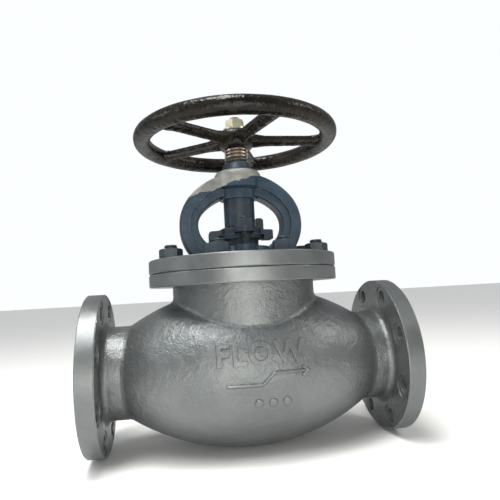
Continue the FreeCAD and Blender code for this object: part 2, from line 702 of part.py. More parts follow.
bonnet_studs = []
bonnet_nuts = []
for index, (x, y) in enumerate(bonnet_places):
    turn = 15.0 * index
    nut = hex_nut(bonnet_nut_flats, bonnet_stud, bonnet_flange_top, bonnet_nut_height, x, y, turn)
    bonnet_nuts.append(nut)
    bonnet_studs.append(stud(bonnet_stud, body_flange_bottom, bonnet_stud_top, x, y))
save("bonnet_studs", bonnet_studs)
save("bonnet_nuts", bonnet_nuts)

save("back_seat_bush", [make_back_seat()])
guide_bore = stem_diameter + guide_clearance
save("packing_bottom_ring", [tube(packing_bore, guide_bore, stuffing_box_floor, packing_bottom)])
for level in range(packing_count):
    save("packing_ring_" + str(level + 1), [packing_ring(level)])
save("gland", [make_gland()])
save("gland_flange", [make_gland_flange()])

gland_studs = []
gland_nuts = []
for x, y in gland_places:
    gland_studs.append(stud(gland_stud, stuffing_box_top - gland_stud_depth, gland_stud_top, x, y))
    nut = hex_nut(gland_nut_flats, gland_stud, gland_plate_top, gland_nut_height, x, y, 30.0)
    gland_nuts.append(nut)
save("gland_studs", gland_studs)
save("gland_nuts", gland_nuts)

save("yoke_bush", [make_yoke_bush()])
save("bush_grub_screw", [make_grub_screw()])
save("handwheel", [make_handwheel()])
save("handwheel_washer", [tube(wheel_washer_od, stem_tip_thread, hub_top, wheel_nut_bottom)])
wheel_nut = hex_nut(wheel_nut_flats, stem_tip_thread, wheel_nut_bottom, wheel_nut_height, 0.0, 0.0, 10.0)
save("handwheel_nut", [wheel_nut])
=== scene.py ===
import math

import bmesh
import bpy
import numpy as np
from mathutils import Matrix, Vector


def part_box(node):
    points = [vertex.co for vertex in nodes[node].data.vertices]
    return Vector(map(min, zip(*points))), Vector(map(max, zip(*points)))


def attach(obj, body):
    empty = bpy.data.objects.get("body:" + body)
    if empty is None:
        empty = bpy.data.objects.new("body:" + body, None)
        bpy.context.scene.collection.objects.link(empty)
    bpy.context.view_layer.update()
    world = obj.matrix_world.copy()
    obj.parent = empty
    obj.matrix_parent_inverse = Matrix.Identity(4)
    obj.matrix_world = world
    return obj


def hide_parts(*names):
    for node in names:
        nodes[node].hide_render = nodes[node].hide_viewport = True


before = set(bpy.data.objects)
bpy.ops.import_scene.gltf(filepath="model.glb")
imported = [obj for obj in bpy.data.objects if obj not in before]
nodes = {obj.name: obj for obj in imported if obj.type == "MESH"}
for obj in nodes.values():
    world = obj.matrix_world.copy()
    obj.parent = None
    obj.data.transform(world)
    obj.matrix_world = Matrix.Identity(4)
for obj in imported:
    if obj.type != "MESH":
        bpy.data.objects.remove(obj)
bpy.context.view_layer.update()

# ---------------------------------------------------------------- body casting
# A sand-cast steel globe with a short pipe and a drilled flange at each end and a round neck on top.
# It was shot-blasted and sprayed with silver-grey paint, which lies smooth on the turned rims and
# follows the skin of the sand everywhere else.
body_low, body_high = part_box("body")
stem_axis = (body_low.x + body_high.x) / 2.0
bonnet_rim = (body_high.y - body_low.y) / 2.0
pipe_rim = 0.105
pipe_flange_start = 0.185
top_flange_bottom = 0.110
silver_paint = (0.180, 0.192, 0.194, 1.0)
silver_shade = (0.080, 0.089, 0.092, 1.0)
bare_edge = (0.42, 0.42, 0.40, 1.0)


def add_node(tree, kind, inputs=None, **settings):
    """One shader node; inputs hold a value for each socket, or the output socket that feeds it."""
    made = tree.nodes.new("ShaderNode" + kind)
    for name, value in settings.items():
        setattr(made, name, value)
    for name, value in (inputs or {}).items():
        if isinstance(value, bpy.types.NodeSocket):
            tree.links.new(value, made.inputs[name])
        else:
            made.inputs[name].default_value = value
    return made


def arithmetic(tree, operation, *terms):
    """The output socket of a Math node over the terms."""
    return add_node(tree, "Math", dict(enumerate(terms)), operation=operation).outputs[0]


def ramp(tree, value, low, high, start=0.0, end=1.0):
    """Carries value from start to end as it goes from low to high, and holds it outside."""
    limits = {"Value": value, "From Min": low, "From Max": high, "To Min": start, "To Max": end}
    return add_node(tree, "MapRange", limits).outputs[0]


def blend_colours(tree, share, first, second):
    """first where share is 0, second where it is 1."""
    made = add_node(tree, "Mix", {"Factor": share}, data_type="RGBA")
    for socket, colour in ((made.inputs[6], first), (made.inputs[7], second)):
        if isinstance(colour, bpy.types.NodeSocket):
            tree.links.new(colour, socket)
        else:
            socket.default_value = colour
    return made.outputs[2]


def start_material(name):
    """A new material's tree, its shader and its Object coordinates."""
    material = bpy.data.materials.new(name)
    material.use_nodes = True
    tree = material.node_tree
    place = add_node(tree, "TexCoord").outputs["Object"]
    return material, tree, tree.nodes["Principled BSDF"], place


def noise(tree, place, scale, detail=3.0, roughness=0.55, distortion=0.0):
    """Cloudy noise over the piece, from 0 to 1, with scale in waves to the metre."""
    inputs = {"Vector": place, "Scale": scale, "Detail": detail, "Roughness": roughness,
              "Distortion": distortion}
    return add_node(tree, "TexNoise", inputs).outputs["Fac"]


def edge_share(tree, width, place):
    """1 on corners within width of the surface, broken up by noise, and 0 on open faces."""
    bevelled = add_node(tree, "Bevel", {"Radius": width}, samples=4).outputs[0]
    true = add_node(tree, "NewGeometry").outputs["Normal"]
    facing = add_node(tree, "VectorMath", {0: bevelled, 1: true}, operation="DOT_PRODUCT").outputs["Value"]
    bend = arithmetic(tree, "SUBTRACT", 1.0, facing)
    patches = noise(tree, place, 60.0, 5.0, 0.7)
    return arithmetic(tree, "MULTIPLY", ramp(tree, bend, 0.02, 0.12), ramp(tree, patches, 0.42, 0.62))


def distance_from_axis(tree, place, axis):
    """Distance from the stem's axis, for axis Z, or from the pipe's, for axis X."""
    middle = add_node(tree, "Mapping", {"Vector": place, "Location": (-stem_axis, 0.0, 0.0)}).outputs[0]
    flat = (0.0, 1.0, 1.0) if axis == "X" else (1.0, 1.0, 0.0)
    squashed = add_node(tree, "VectorMath", {0: middle, 1: flat}, operation="MULTIPLY").outputs[0]
    return add_node(tree, "VectorMath", {0: squashed}, operation="LENGTH").outputs["Value"]


def height(tree, place):
    """Height above the pipe's axis."""
    return add_node(tree, "SeparateXYZ", {0: place}).outputs["Z"]


def under_rim(tree, distance, rim):
    """1 on the outer face of a turned rim, where the distance from its axis comes near to rim."""
    return ramp(tree, distance, rim - 0.0015, rim - 0.0005)


def cast_relief(tree, place, skin_scale, depth, smooth):
    """The skin of the sand under the paint: fine grains and wider dimples, flattened where smooth is 1."""
    grains = noise(tree, place, skin_scale, 4.0, 0.6)
    dimples = noise(tree, place, skin_scale / 4.0, 2.0, 0.5)
    lumps = noise(tree, place, skin_scale / 14.0, 2.0, 0.5)
    fine = arithmetic(tree, "MULTIPLY", grains, 0.35)
    wide = arithmetic(tree, "MULTIPLY", dimples, 0.7)
    broad = arithmetic(tree, "MULTIPLY", lumps, 0.5)
    level = arithmetic(tree, "ADD", arithmetic(tree, "ADD", fine, wide), broad)
    rough_share = arithmetic(tree, "SUBTRACT", 1.0, arithmetic(tree, "MULTIPLY", smooth, 0.85))
    level = arithmetic(tree, "MULTIPLY", level, rough_share)
    return add_node(tree, "Bump", {"Height": level, "Strength": 1.0, "Distance": depth}).outputs[0]


def set_shader(tree, shader, **values):
    """Feeds or sets sockets of the shader, named with _ for a space."""
    for name, value in values.items():
        socket = shader.inputs[name.replace("_", " ")]
        if isinstance(value, bpy.types.NodeSocket):
            tree.links.new(value, socket)
        else:
            socket.default_value = value


def body_colours(tree, place):
    """Silver-grey paint, duller in broad patches and in the pits of the skin."""
    patches = noise(tree, place, 11.0, 6.0, 0.62, 0.6)
    pits = noise(tree, place, 210.0, 3.0, 0.6)
    broad = ramp(tree, patches, 0.34, 0.66, 0.0, 0.45)
    share = arithmetic(tree, "ADD", broad, ramp(tree, pits, 0.52, 0.74, 0.0, 0.12))
    return blend_colours(tree, share, silver_paint, silver_shade)


def make_body_paint():
    """Silver paint, smooth on the turned rims and rough on the cast skin, worn to metal on its corners."""
    material, tree, shader, place = start_material("silver_grey_paint")
    spread = distance_from_axis(tree, place, "X")
    reach = distance_from_axis(tree, place, "Z")
    at_the_ends = ramp(tree, reach, pipe_flange_start, pipe_flange_start + 0.002)
    end_rim = arithmetic(tree, "MULTIPLY", under_rim(tree, spread, pipe_rim), at_the_ends)
    turned = arithmetic(tree, "MAXIMUM", end_rim, under_rim(tree, reach, bonnet_rim))
    top_part = ramp(tree, height(tree, place), top_flange_bottom - 0.002, top_flange_bottom)
    turned = arithmetic(tree, "MULTIPLY", turned, arithmetic(tree, "MAXIMUM", top_part, end_rim))
    colour = body_colours(tree, place)
    worn = arithmetic(tree, "MULTIPLY", edge_share(tree, 0.0012, place), 0.55)
    colour = blend_colours(tree, worn, colour, bare_edge)
    bands = noise(tree, place, 38.0, 4.0, 0.6)
    rough = ramp(tree, bands, 0.3, 0.7, 0.30, 0.44)
    relief = cast_relief(tree, place, 480.0, 0.0013, turned)
    set_shader(tree, shader, Base_Color=colour, Roughness=rough, Metallic=0.72, Normal=relief)
    return material


def dress(name, material):
    """Gives a CAD node its finish."""
    mesh = nodes[name].data
    mesh.materials.clear()
    mesh.materials.append(material)


body_paint = make_body_paint()
dress("body", body_paint)

# ---------------------------------------------------------------- raised marks on the globe
# The pattern carried a few raised marks on the front of the globe: a word, a stepped arrow that stands
# for the path of the flow, and three plain pads. They are part of the casting and share its paint.
crown = 0.107
crown_arc = 0.289
widening = 1.08


def globe_front(x, z):
    """Y of the globe's front at x along the pipe from the stem's axis and z above the pipe's axis."""
    half = crown - (crown_arc - np.sqrt(crown_arc ** 2 - x ** 2))
    return -widening * np.sqrt(half ** 2 - z ** 2)


def grid_faces(rows, columns, ring):
    """Quads over a grid whose columns close on themselves, and its rows too when it is a ring."""
    last = rows if ring else rows - 1
    row, column = np.meshgrid(np.arange(last), np.arange(columns), indexing="ij")
    after = (column + 1) % columns
    below = (row + 1) % rows
    row, below = row * columns, below * columns
    corners = (row + column, row + after, below + after, below + column)
    return np.stack(corners, -1).reshape(-1, 4)


def outward(points, faces):
    """Turns the faces round when the volume they enclose comes out negative."""
    first, second, third, fourth = (points[faces[:, i]] for i in range(4))
    volume = np.einsum("ij,ij->", first, np.cross(second, third) + np.cross(third, fourth))
    return faces if volume > 0 else faces[:, ::-1]


def skin(name, grids, material, body, stands_for=()):
    """One piece from closed grids, each an array of rows by columns by three and a flag for a ring."""
    points = []
    faces = []
    start = 0
    for grid, ring in grids:
        rows, columns = grid.shape[:2]
        flat = grid.reshape(-1, 3)
        faces.append(outward(flat, grid_faces(rows, columns, ring)) + start)
        points.append(flat)
        start += len(flat)
    mesh = bpy.data.meshes.new(name)
    mesh.from_pydata(np.concatenate(points).tolist(), [], np.concatenate(faces).tolist())
    close_poles(mesh)
    return place_piece(name, mesh, material, body, stands_for)


def close_poles(mesh):
    """Merges the points that coincide, so that seams and poles are shut, and smooths the shading."""
    shape = bmesh.new()
    shape.from_mesh(mesh)
    bmesh.ops.remove_doubles(shape, verts=shape.verts, dist=1e-6)
    shape.to_mesh(mesh)
    shape.free()
    mesh.polygons.foreach_set("use_smooth", np.ones(len(mesh.polygons), bool))
    mesh.update()


def place_piece(name, mesh, material, body, stands_for=()):
    """Puts the finished mesh in the scene as a piece that rides on the body."""
    mesh.materials.append(material)
    piece = bpy.data.objects.new(name, mesh)
    bpy.context.scene.collection.objects.link(piece)
    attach(piece, body)
    if stands_for:
        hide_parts(*stands_for)
    return piece


def wrap_on_globe(points):
    """Points as (along, up, proud) become points of the row frame on the globe's front."""
    along, up, proud = points[..., 0], points[..., 1], points[..., 2]
    return np.stack([along + stem_axis, globe_front(along, up) - proud, up], -1)


def raised_bar(stops, width, proud):
    """A bar of half-round section carried along straight runs between the stops, rounded at both ends.

    Each section is (width/2 cos v, proud sin v) about the path, and the ends shrink as a circle does.
    """
    stops = np.array(stops)
    runs = np.linalg.norm(np.diff(stops, axis=0), axis=1)
    total = runs.sum()
    along = np.linspace(0.0, total, 120)
    reach = np.concatenate([[0.0], np.cumsum(runs)])
    path = np.stack([np.interp(along, reach, stops[:, i]) for i in range(2)], -1)
    heading = np.gradient(path, axis=0)
    heading /= np.linalg.norm(heading, axis=1, keepdims=True)
    side = np.stack([-heading[:, 1], heading[:, 0]], -1)
    near_end = np.clip(np.minimum(along, total - along) / (width / 2.0), 0.0, 1.0)
    fade = np.sqrt(1.0 - (1.0 - near_end) ** 2)
    turn = np.linspace(0.0, 2.0 * math.pi, 24, endpoint=False)
    across = width / 2.0 * fade[:, None] * np.cos(turn)
    lift = proud * fade[:, None] * np.sin(turn)
    flat = path[:, None, :] + side[:, None, :] * across[..., None]
    return wrap_on_globe(np.concatenate([flat, lift[..., None]], -1))


def raised_pad(along, up, radius, proud):
    """A low round pad: rows go from its middle out over a soft edge and back under the surface."""
    sweep = np.linspace(0.0, math.pi, 24)[:, None]
    turn = np.linspace(0.0, 2.0 * math.pi, 40, endpoint=False)
    spread = radius * np.sin(sweep) ** 0.6
    lift = proud * np.cos(sweep) * np.ones_like(turn)
    points = np.stack([along + spread * np.cos(turn), up + spread * np.sin(turn), lift], -1)
    return wrap_on_globe(points)


flow_line = [(-0.041, -0.010), (0.002, -0.010), (0.016, 0.003), (0.058, 0.0025)]
arrow_head = [(0.050, 0.0085), (0.059, 0.0025), (0.050, -0.0035)]
line_proud = 0.0026
pad_radius = 0.0055
pad_proud = 0.0024
mark_grids = [(raised_bar(flow_line, 0.0042, line_proud), False)]
mark_grids.append((raised_bar(arrow_head, 0.0040, line_proud), False))
for pad_along in (-0.003, 0.014, 0.031):
    mark_grids.append((raised_pad(pad_along, -0.032, pad_radius, pad_proud), False))
skin("flow_line_and_pads", mark_grids, body_paint, "valve_body")


def raised_word(name, word, start, up, size, spacing):
    """The word as rounded raised letters, cut fine enough to bend with the globe."""
    curve = bpy.data.curves.new(name, "FONT")
    curve.body = word
    curve.size = size
    curve.space_character = spacing
    curve.offset = 0.0006
    curve.extrude = 0.0020
    curve.bevel_depth = 0.0007
    curve.bevel_resolution = 2
    written = bpy.data.objects.new(name + "_curve", curve)
    bpy.context.scene.collection.objects.link(written)
    bpy.context.view_layer.update()
    evaluated = written.evaluated_get(bpy.context.evaluated_depsgraph_get())
    mesh = bpy.data.meshes.new_from_object(evaluated)
    bpy.data.objects.remove(written)
    shape = bmesh.new()
    shape.from_mesh(mesh)
    bmesh.ops.remove_doubles(shape, verts=shape.verts, dist=1e-6)
    bmesh.ops.triangulate(shape, faces=shape.faces)
    for _ in range(3):
        long_edges = [edge for edge in shape.edges if edge.calc_length() > 0.004]
        bmesh.ops.subdivide_edges(shape, edges=long_edges, cuts=1)
        bmesh.ops.triangulate(shape, faces=shape.faces)
    shape.to_mesh(mesh)
    shape.free()
    flat = np.zeros(len(mesh.vertices) * 3)
    mesh.vertices.foreach_get("co", flat)
    flat = flat.reshape(-1, 3) + np.array([start, up, 0.0])
    mesh.vertices.foreach_set("co", wrap_on_globe(flat).ravel())
    mesh.materials.clear()
    mesh.polygons.foreach_set("use_smooth", np.zeros(len(mesh.polygons), bool))
    mesh.update()
    return place_piece(name, mesh, body_paint, "valve_body")


raised_word("flow_word", "FLOW", -0.052, 0.014, 0.036, 1.12)

# ---------------------------------------------------------------- seat ring, disc and what holds it
# Turned stainless trim inside the globe: the ring the disc closes on, the disc with its swivel nut and
# the hardened pad the stem pushes on. They are bright, with fine rings from the lathe.


def turned_metal(name, colour, shade, rough, ring_scale=900.0):
    """Lathe work: noise that hardly changes across the stem's axis lies in fine rings along it."""
    material, tree, shader, place = start_material(name)
    stretch = add_node(tree, "Mapping", {"Vector": place, "Scale": (0.02, 0.02, 1.0)}).outputs[0]
    rings = noise(tree, stretch, ring_scale, 2.0, 0.5)
    stains = noise(tree, place, 45.0, 5.0, 0.65)
    stained = ramp(tree, stains, 0.40, 0.70, 0.0, 0.7)
    share = arithmetic(tree, "ADD", stained, ramp(tree, rings, 0.4, 0.7, 0.0, 0.3))
    tint = blend_colours(tree, share, colour, shade)
    worn = edge_share(tree, 0.0006, place)
    tint = blend_colours(tree, arithmetic(tree, "MULTIPLY", worn, 0.4), tint, bare_edge)
    level = add_node(tree, "Bump", {"Height": rings, "Strength": 0.5, "Distance": 0.0001}).outputs[0]
    gloss = ramp(tree, stains, 0.3, 0.7, rough, rough + 0.18)
    set_shader(tree, shader, Base_Color=tint, Roughness=gloss, Metallic=1.0, Normal=level)
    return material


trim_steel = turned_metal("turned_trim", (0.55, 0.55, 0.53, 1.0), (0.32, 0.31, 0.29, 1.0), 0.24)
for trim in ("seat_ring", "disc", "disc_nut", "thrust_pad", "back_seat_bush"):
    dress(trim, trim_steel)

# ---------------------------------------------------------------- packing and gasket
# Compressed graphite: a flat ring between the flanges and four square braided rings round the stem.
# It is matt and dark, with a weave that catches a little light.


def make_graphite():
    """Matt graphite with the cells of its braid in colour and relief."""
    material, tree, shader, place = start_material("graphite_packing")
    weave = add_node(tree, "TexVoronoi", {"Vector": place, "Scale": 600.0}).outputs["Distance"]
    cloud = noise(tree, place, 90.0, 4.0, 0.6)
    share = arithmetic(tree, "MULTIPLY", cloud, ramp(tree, weave, 0.1, 0.8))
    colour = blend_colours(tree, share, (0.018, 0.018, 0.019, 1.0), (0.075, 0.075, 0.078, 1.0))
    worn = arithmetic(tree, "MULTIPLY", edge_share(tree, 0.0005, place), 0.5)
    colour = blend_colours(tree, worn, colour, (0.12, 0.12, 0.12, 1.0))
    level = add_node(tree, "Bump", {"Height": weave, "Strength": 0.7, "Distance": 0.0003}).outputs[0]
    gloss = ramp(tree, cloud, 0.3, 0.7, 0.55, 0.8)
    set_shader(tree, shader, Base_Color=colour, Roughness=gloss, Metallic=0.2, Normal=level)
    return material


graphite = make_graphite()
for ring_name in ("bonnet_gasket", "packing_ring_1", "packing_ring_2", "packing_ring_3", "packing_ring_4"):
    dress(ring_name, graphite)
dress("packing_bottom_ring", trim_steel)

# ---------------------------------------------------------------- bonnet and yoke
# One steel casting: a round flange on the body, the stuffing box and two curved arms that meet in a
# barrel round the stem. The flange is sprayed silver with the body. Above it the colour is a darker
# blue-grey, which is painted shade of the wheel and the sky on the same grey paint, and a light grey
# patch over the top of the barrel and the shoulder of one arm is a painted patch of sunlight.
flange_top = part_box("bonnet_nuts")[0].z
barrel_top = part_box("bonnet")[1].z
# The two blue-greys here are painted shade: the grey paint in the shade of the wheel and the sky. The last
# two light greys are a painted patch of sunlight on the same paint.
shaded_grey_blue = (0.024, 0.050, 0.078, 1.0)
shaded_grey_dark = (0.014, 0.026, 0.040, 1.0)
slate_worn = (0.20, 0.20, 0.185, 1.0)
sunlit_grey = (0.265, 0.265, 0.245, 1.0)
sunlit_grey_thin = (0.150, 0.155, 0.150, 1.0)


def shaded_grey_colours(tree, place, fresh, dull):
    """Blue-grey that stands for grey paint in painted shade, with dull patches and darker pits."""
    patches = noise(tree, place, 24.0, 5.0, 0.6, 0.4)
    pits = noise(tree, place, 260.0, 3.0, 0.6)
    dulled = ramp(tree, patches, 0.36, 0.66, 0.0, 0.65)
    share = arithmetic(tree, "ADD", dulled, ramp(tree, pits, 0.5, 0.75, 0.0, 0.4))
    return blend_colours(tree, share, fresh, dull)


def make_bonnet_paint_and_painted_light():
    """Silver below the top of the flange and blue-grey above it, the blue-grey being painted shade, and a
    painted patch of sunlight in light grey over a slanting line that falls from the barrel towards the
    shoulder of the left arm."""
    material, tree, shader, place = start_material("bonnet_paint_and_painted_light")
    wave = noise(tree, place, 55.0, 3.0, 0.5)
    # Above this wavy line the colour turns to the blue-grey painted shade.
    shade_edge = arithmetic(tree, "ADD", height(tree, place), ramp(tree, wave, 0.3, 0.7, -0.0012, 0.0012))
    upper = ramp(tree, shade_edge, flange_top + 0.0022, flange_top + 0.0030)
    blue = shaded_grey_colours(tree, place, shaded_grey_blue, shaded_grey_dark)
    worn = arithmetic(tree, "MULTIPLY", edge_share(tree, 0.0016, place), 0.6)
    blue = blend_colours(tree, worn, blue, slate_worn)
    silver = body_colours(tree, place)
    silver = blend_colours(tree, worn, silver, bare_edge)
    across = add_node(tree, "SeparateXYZ", {0: place}).outputs["X"]
    line = ramp(tree, across, stem_axis - 0.08, stem_axis + 0.03, 0.006, 0.036)
    above = arithmetic(tree, "SUBTRACT", shade_edge, line)
    ragged = ramp(tree, noise(tree, place, 90.0, 4.0, 0.6), 0.3, 0.7, -0.002, 0.002)
    above = arithmetic(tree, "ADD", above, ragged)
    # A painted patch of sunlight over the top of the barrel and the shoulder of the left arm.
    sunlit_patch = ramp(tree, above, barrel_top - 0.0465, barrel_top - 0.0455)
    sunlit_colour = blend_colours(tree, ramp(tree, wave, 0.35, 0.7), sunlit_grey, sunlit_grey_thin)
    blue = blend_colours(tree, sunlit_patch, blue, sunlit_colour)
    colour = blend_colours(tree, upper, silver, blue)
    reach = distance_from_axis(tree, place, "Z")
    below = arithmetic(tree, "SUBTRACT", 1.0, upper)
    turned = arithmetic(tree, "MULTIPLY", under_rim(tree, reach, bonnet_rim), below)
    relief = cast_relief(tree, place, 420.0, 0.0008, turned)
    bands = noise(tree, place, 40.0, 4.0, 0.6)
    duller = arithmetic(tree, "MULTIPLY", upper, 0.06)
    rough = arithmetic(tree, "ADD", ramp(tree, bands, 0.3, 0.7, 0.30, 0.44), duller)
    metal = ramp(tree, upper, 0.0, 1.0, 0.72, 0.08)
    set_shader(tree, shader, Base_Color=colour, Roughness=rough, Metallic=metal, Normal=relief,
               Specular_IOR_Level=0.35)
    return material


dress("bonnet", make_bonnet_paint_and_painted_light())


def shaded_grey_paint(name, fresh, dull, depth, rough):
    """The yoke's blue-grey, painted shade over grey paint, on a smaller piece, with its own relief and
    gloss.
    """
    material, tree, shader, place = start_material(name)
    colour = shaded_grey_colours(tree, place, fresh, dull)
    worn = arithmetic(tree, "MULTIPLY", edge_share(tree, 0.0009, place), 0.7)
    colour = blend_colours(tree, worn, colour, slate_worn)
    relief = cast_relief(tree, place, 480.0, depth, 0.0)
    bands = noise(tree, place, 60.0, 4.0, 0.6)
    gloss = ramp(tree, bands, 0.3, 0.7, rough, rough + 0.16)
    set_shader(tree, shader, Base_Color=colour, Roughness=gloss, Metallic=0.1, Normal=relief,
               Specular_IOR_Level=0.3)
    return material


# ---------------------------------------------------------------- bonnet studs and nuts
# Eight steel studs with rolled threads and chamfered hexagon nuts clamp the bonnet to the body. They
# were painted over after the joint was made up, so paint fills the roots of the threads.
studs_low, studs_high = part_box("bonnet_studs")
bonnet_stud = 0.018
bonnet_stud_pitch = 0.0025
bonnet_stud_count = 8
bonnet_stud_circle = 0.213


def thread_grid(centre, diameter, pitch, low, high):
    """A threaded rod: its radius falls and rises once for each pitch along a helix, r = R - d |saw|.

    The crests are cut to a cone at both ends, and both ends are flat and shut at a pole.
    """
    turns = (high - low) / pitch
    level = np.linspace(low, high, int(turns * 8))
    turn = np.linspace(0.0, 2.0 * math.pi, 36, endpoint=False)
    phase = (level[:, None] - low) / pitch - turn / (2.0 * math.pi)
    saw = np.abs(2.0 * (phase - np.floor(phase)) - 1.0)
    spread = diameter / 2.0 - 0.6 * pitch * np.clip(saw * 1.3 - 0.15, 0.0, 1.0)
    edge = np.minimum(level - low, high - level)[:, None]
    spread = np.minimum(spread, diameter / 2.0 - 0.7 * pitch + edge)
    level = np.concatenate([[low], level, [high]])
    shut = np.zeros((1, len(turn)))
    spread = np.concatenate([shut, spread, shut])
    x = centre[0] + spread * np.cos(turn)
    y = centre[1] + spread * np.sin(turn)
    z = level[:, None] * np.ones_like(turn)
    return np.stack([x, y, z], -1)


bonnet_places = []
for index in range(bonnet_stud_count):
    angle = 2.0 * math.pi * (index + 0.5) / bonnet_stud_count
    reach = bonnet_stud_circle / 2.0
    bonnet_places.append((stem_axis + reach * math.cos(angle), reach * math.sin(angle)))
# The blue-grey of the studs and nuts is painted shade over grey paint, as on the yoke.
stud_shaded_blue = (0.034, 0.050, 0.064, 1.0)
stud_shaded_dark = (0.016, 0.022, 0.028, 1.0)
stud_shaded_paint = shaded_grey_paint("stud_and_nut_shaded_paint", stud_shaded_blue, stud_shaded_dark, 0.0002, 0.28)
stud_grids = []
for centre in bonnet_places:
    rod = thread_grid(centre, bonnet_stud, bonnet_stud_pitch, studs_low.z, studs_high.z)
    stud_grids.append((rod, False))
skin("bonnet_stud_threads", stud_grids, stud_shaded_paint, "valve_body", ("bonnet_studs",))
dress("bonnet_nuts", stud_shaded_paint)

# ---------------------------------------------------------------- gland
# A cast gland with an oval flange presses the packing down. Two studs screwed in the bonnet pull it
# with their nuts. All of it takes the yoke's blue-grey painted shade, in a darker, duller tone.
gland_shaded_blue = (0.020, 0.034, 0.048, 1.0)
gland_shaded_dark = (0.010, 0.016, 0.023, 1.0)
gland_paint = shaded_grey_paint("gland_paint", gland_shaded_blue, gland_shaded_dark, 0.0005, 0.36)
dress("gland", gland_paint)
dress("gland_flange", gland_paint)
gland_low, gland_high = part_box("gland_studs")
gland_stud = 0.012
gland_stud_pitch = 0.00175
gland_reach = (gland_high.y - gland_low.y - gland_stud) / 2.0
gland_grids = []
for side in (-1, 1):
    centre = (stem_axis, side * gland_reach)
    rod = thread_grid(centre, gland_stud, gland_stud_pitch, gland_low.z, gland_high.z)
    gland_grids.append((rod, False))
skin("gland_stud_threads", gland_grids, stud_shaded_paint, "valve_body", ("gland_studs",))
dress("gland_nuts", stud_shaded_paint)

# ---------------------------------------------------------------- yoke bush and its grub screw
# The bronze bush carries the stem's thread. It is pressed in the barrel, held by a slotted grub screw,
# and its proud end was painted with the yoke and takes the same blue-grey painted shade.
bush_shaded_blue = (0.032, 0.054, 0.076, 1.0)
bush_shaded_dark = (0.022, 0.027, 0.029, 1.0)
bush_shaded_paint = shaded_grey_paint("painted_bush_shaded", bush_shaded_blue, bush_shaded_dark, 0.0003, 0.32)
dress("yoke_bush", bush_shaded_paint)
dress("bush_grub_screw", stud_shaded_paint)

# ---------------------------------------------------------------- stem
# A turned stainless spindle with a coarse thread. Grease and brass dust warm its colour, more so in
# the roots of the thread.
bush_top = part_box("yoke_bush")[1].z
thread_radius = 0.017
thread_depth = 0.0026
warm_steel = (0.56, 0.47, 0.38, 1.0)
stained_steel = (0.36, 0.29, 0.22, 1.0)
grease = (0.10, 0.070, 0.045, 1.0)


def make_stem_steel():
    """Warm bright steel, greasy in the roots of the thread, and painted where it leaves the bush in the
    yoke's darkest blue-grey, which is painted shade.
    """
    material, tree, shader, place = start_material("greased_stem")
    reach = distance_from_axis(tree, place, "Z")
    root = ramp(tree, reach, thread_radius - thread_depth, thread_radius - 0.0004, 1.0, 0.0)
    stains = noise(tree, place, 120.0, 4.0, 0.65)
    bright = blend_colours(tree, ramp(tree, stains, 0.35, 0.7), warm_steel, stained_steel)
    colour = blend_colours(tree, arithmetic(tree, "MULTIPLY", root, 0.75), bright, grease)
    worn = arithmetic(tree, "MULTIPLY", edge_share(tree, 0.0006, place), 0.5)
    colour = blend_colours(tree, worn, colour, (0.70, 0.64, 0.55, 1.0))
    edge = arithmetic(tree, "ADD", height(tree, place), ramp(tree, stains, 0.3, 0.7, -0.0015, 0.0015))
    # Just above the bush the stem takes the yoke's darkest blue-grey: paint, in the tone that is painted
    # shade.
    painted = ramp(tree, edge, bush_top + 0.0085, bush_top + 0.0095, 1.0, 0.0)
    colour = blend_colours(tree, arithmetic(tree, "MULTIPLY", painted, 0.85), colour, shaded_grey_dark)
    gloss = ramp(tree, stains, 0.3, 0.7, 0.26, 0.42)
    relief = add_node(tree, "Bump", {"Height": stains, "Strength": 0.4, "Distance": 0.0002}).outputs[0]
    metal = ramp(tree, painted, 0.0, 1.0, 0.9, 0.3)
    set_shader(tree, shader, Base_Color=colour, Roughness=gloss, Metallic=metal, Normal=relief)
    return material


dress("stem", make_stem_steel())

# ---------------------------------------------------------------- handwheel
# Rough iron casting: a round rim, five ribbed spokes that swell where they join, and a domed hub with
# a square hole. It was dipped in gloss black enamel, which rounds over the skin of the casting.
wheel_low, wheel_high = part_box("handwheel")
rim_section = 0.0244
rim_reach = (wheel_high.y - wheel_low.y - rim_section) / 2.0
hub_bottom = wheel_low.z
hub_top = wheel_high.z
hub_radius = 0.026
hub_hole = 0.0125
rim_height = hub_bottom + 0.0143
spoke_count = 5
spoke_at_hub = 0.0205
spoke_at_rim = 0.0245


def lumps(first, second, size):
    """Soft unevenness of a hand-finished casting: a few sines of unrelated waves."""
    wave = np.sin(5.0 * first + 1.3) * np.cos(2.0 * second + 0.4)
    wave = wave + 0.7 * np.sin(11.0 * first + 2.1 * np.sin(second))
    wave = wave + 0.5 * np.sin(23.0 * first + second + 0.7)
    return size * wave / 2.2


def rim_grid():
    """A ring of round section, ((R + r cos v) cos u, (R + r cos v) sin u, r sin v), with lumps in r."""
    around = np.linspace(0.0, 2.0 * math.pi, 320, endpoint=False)[:, None]
    section = np.linspace(0.0, 2.0 * math.pi, 44, endpoint=False)
    thick = rim_section / 2.0 - 0.00022 + lumps(around, section, 0.00022)
    spread = rim_reach + thick * np.cos(section)
    x = stem_axis + spread * np.cos(around)
    y = spread * np.sin(around)
    z = rim_height + thick * np.sin(section) + 0.0 * around
    return np.stack([x, y, z], -1)


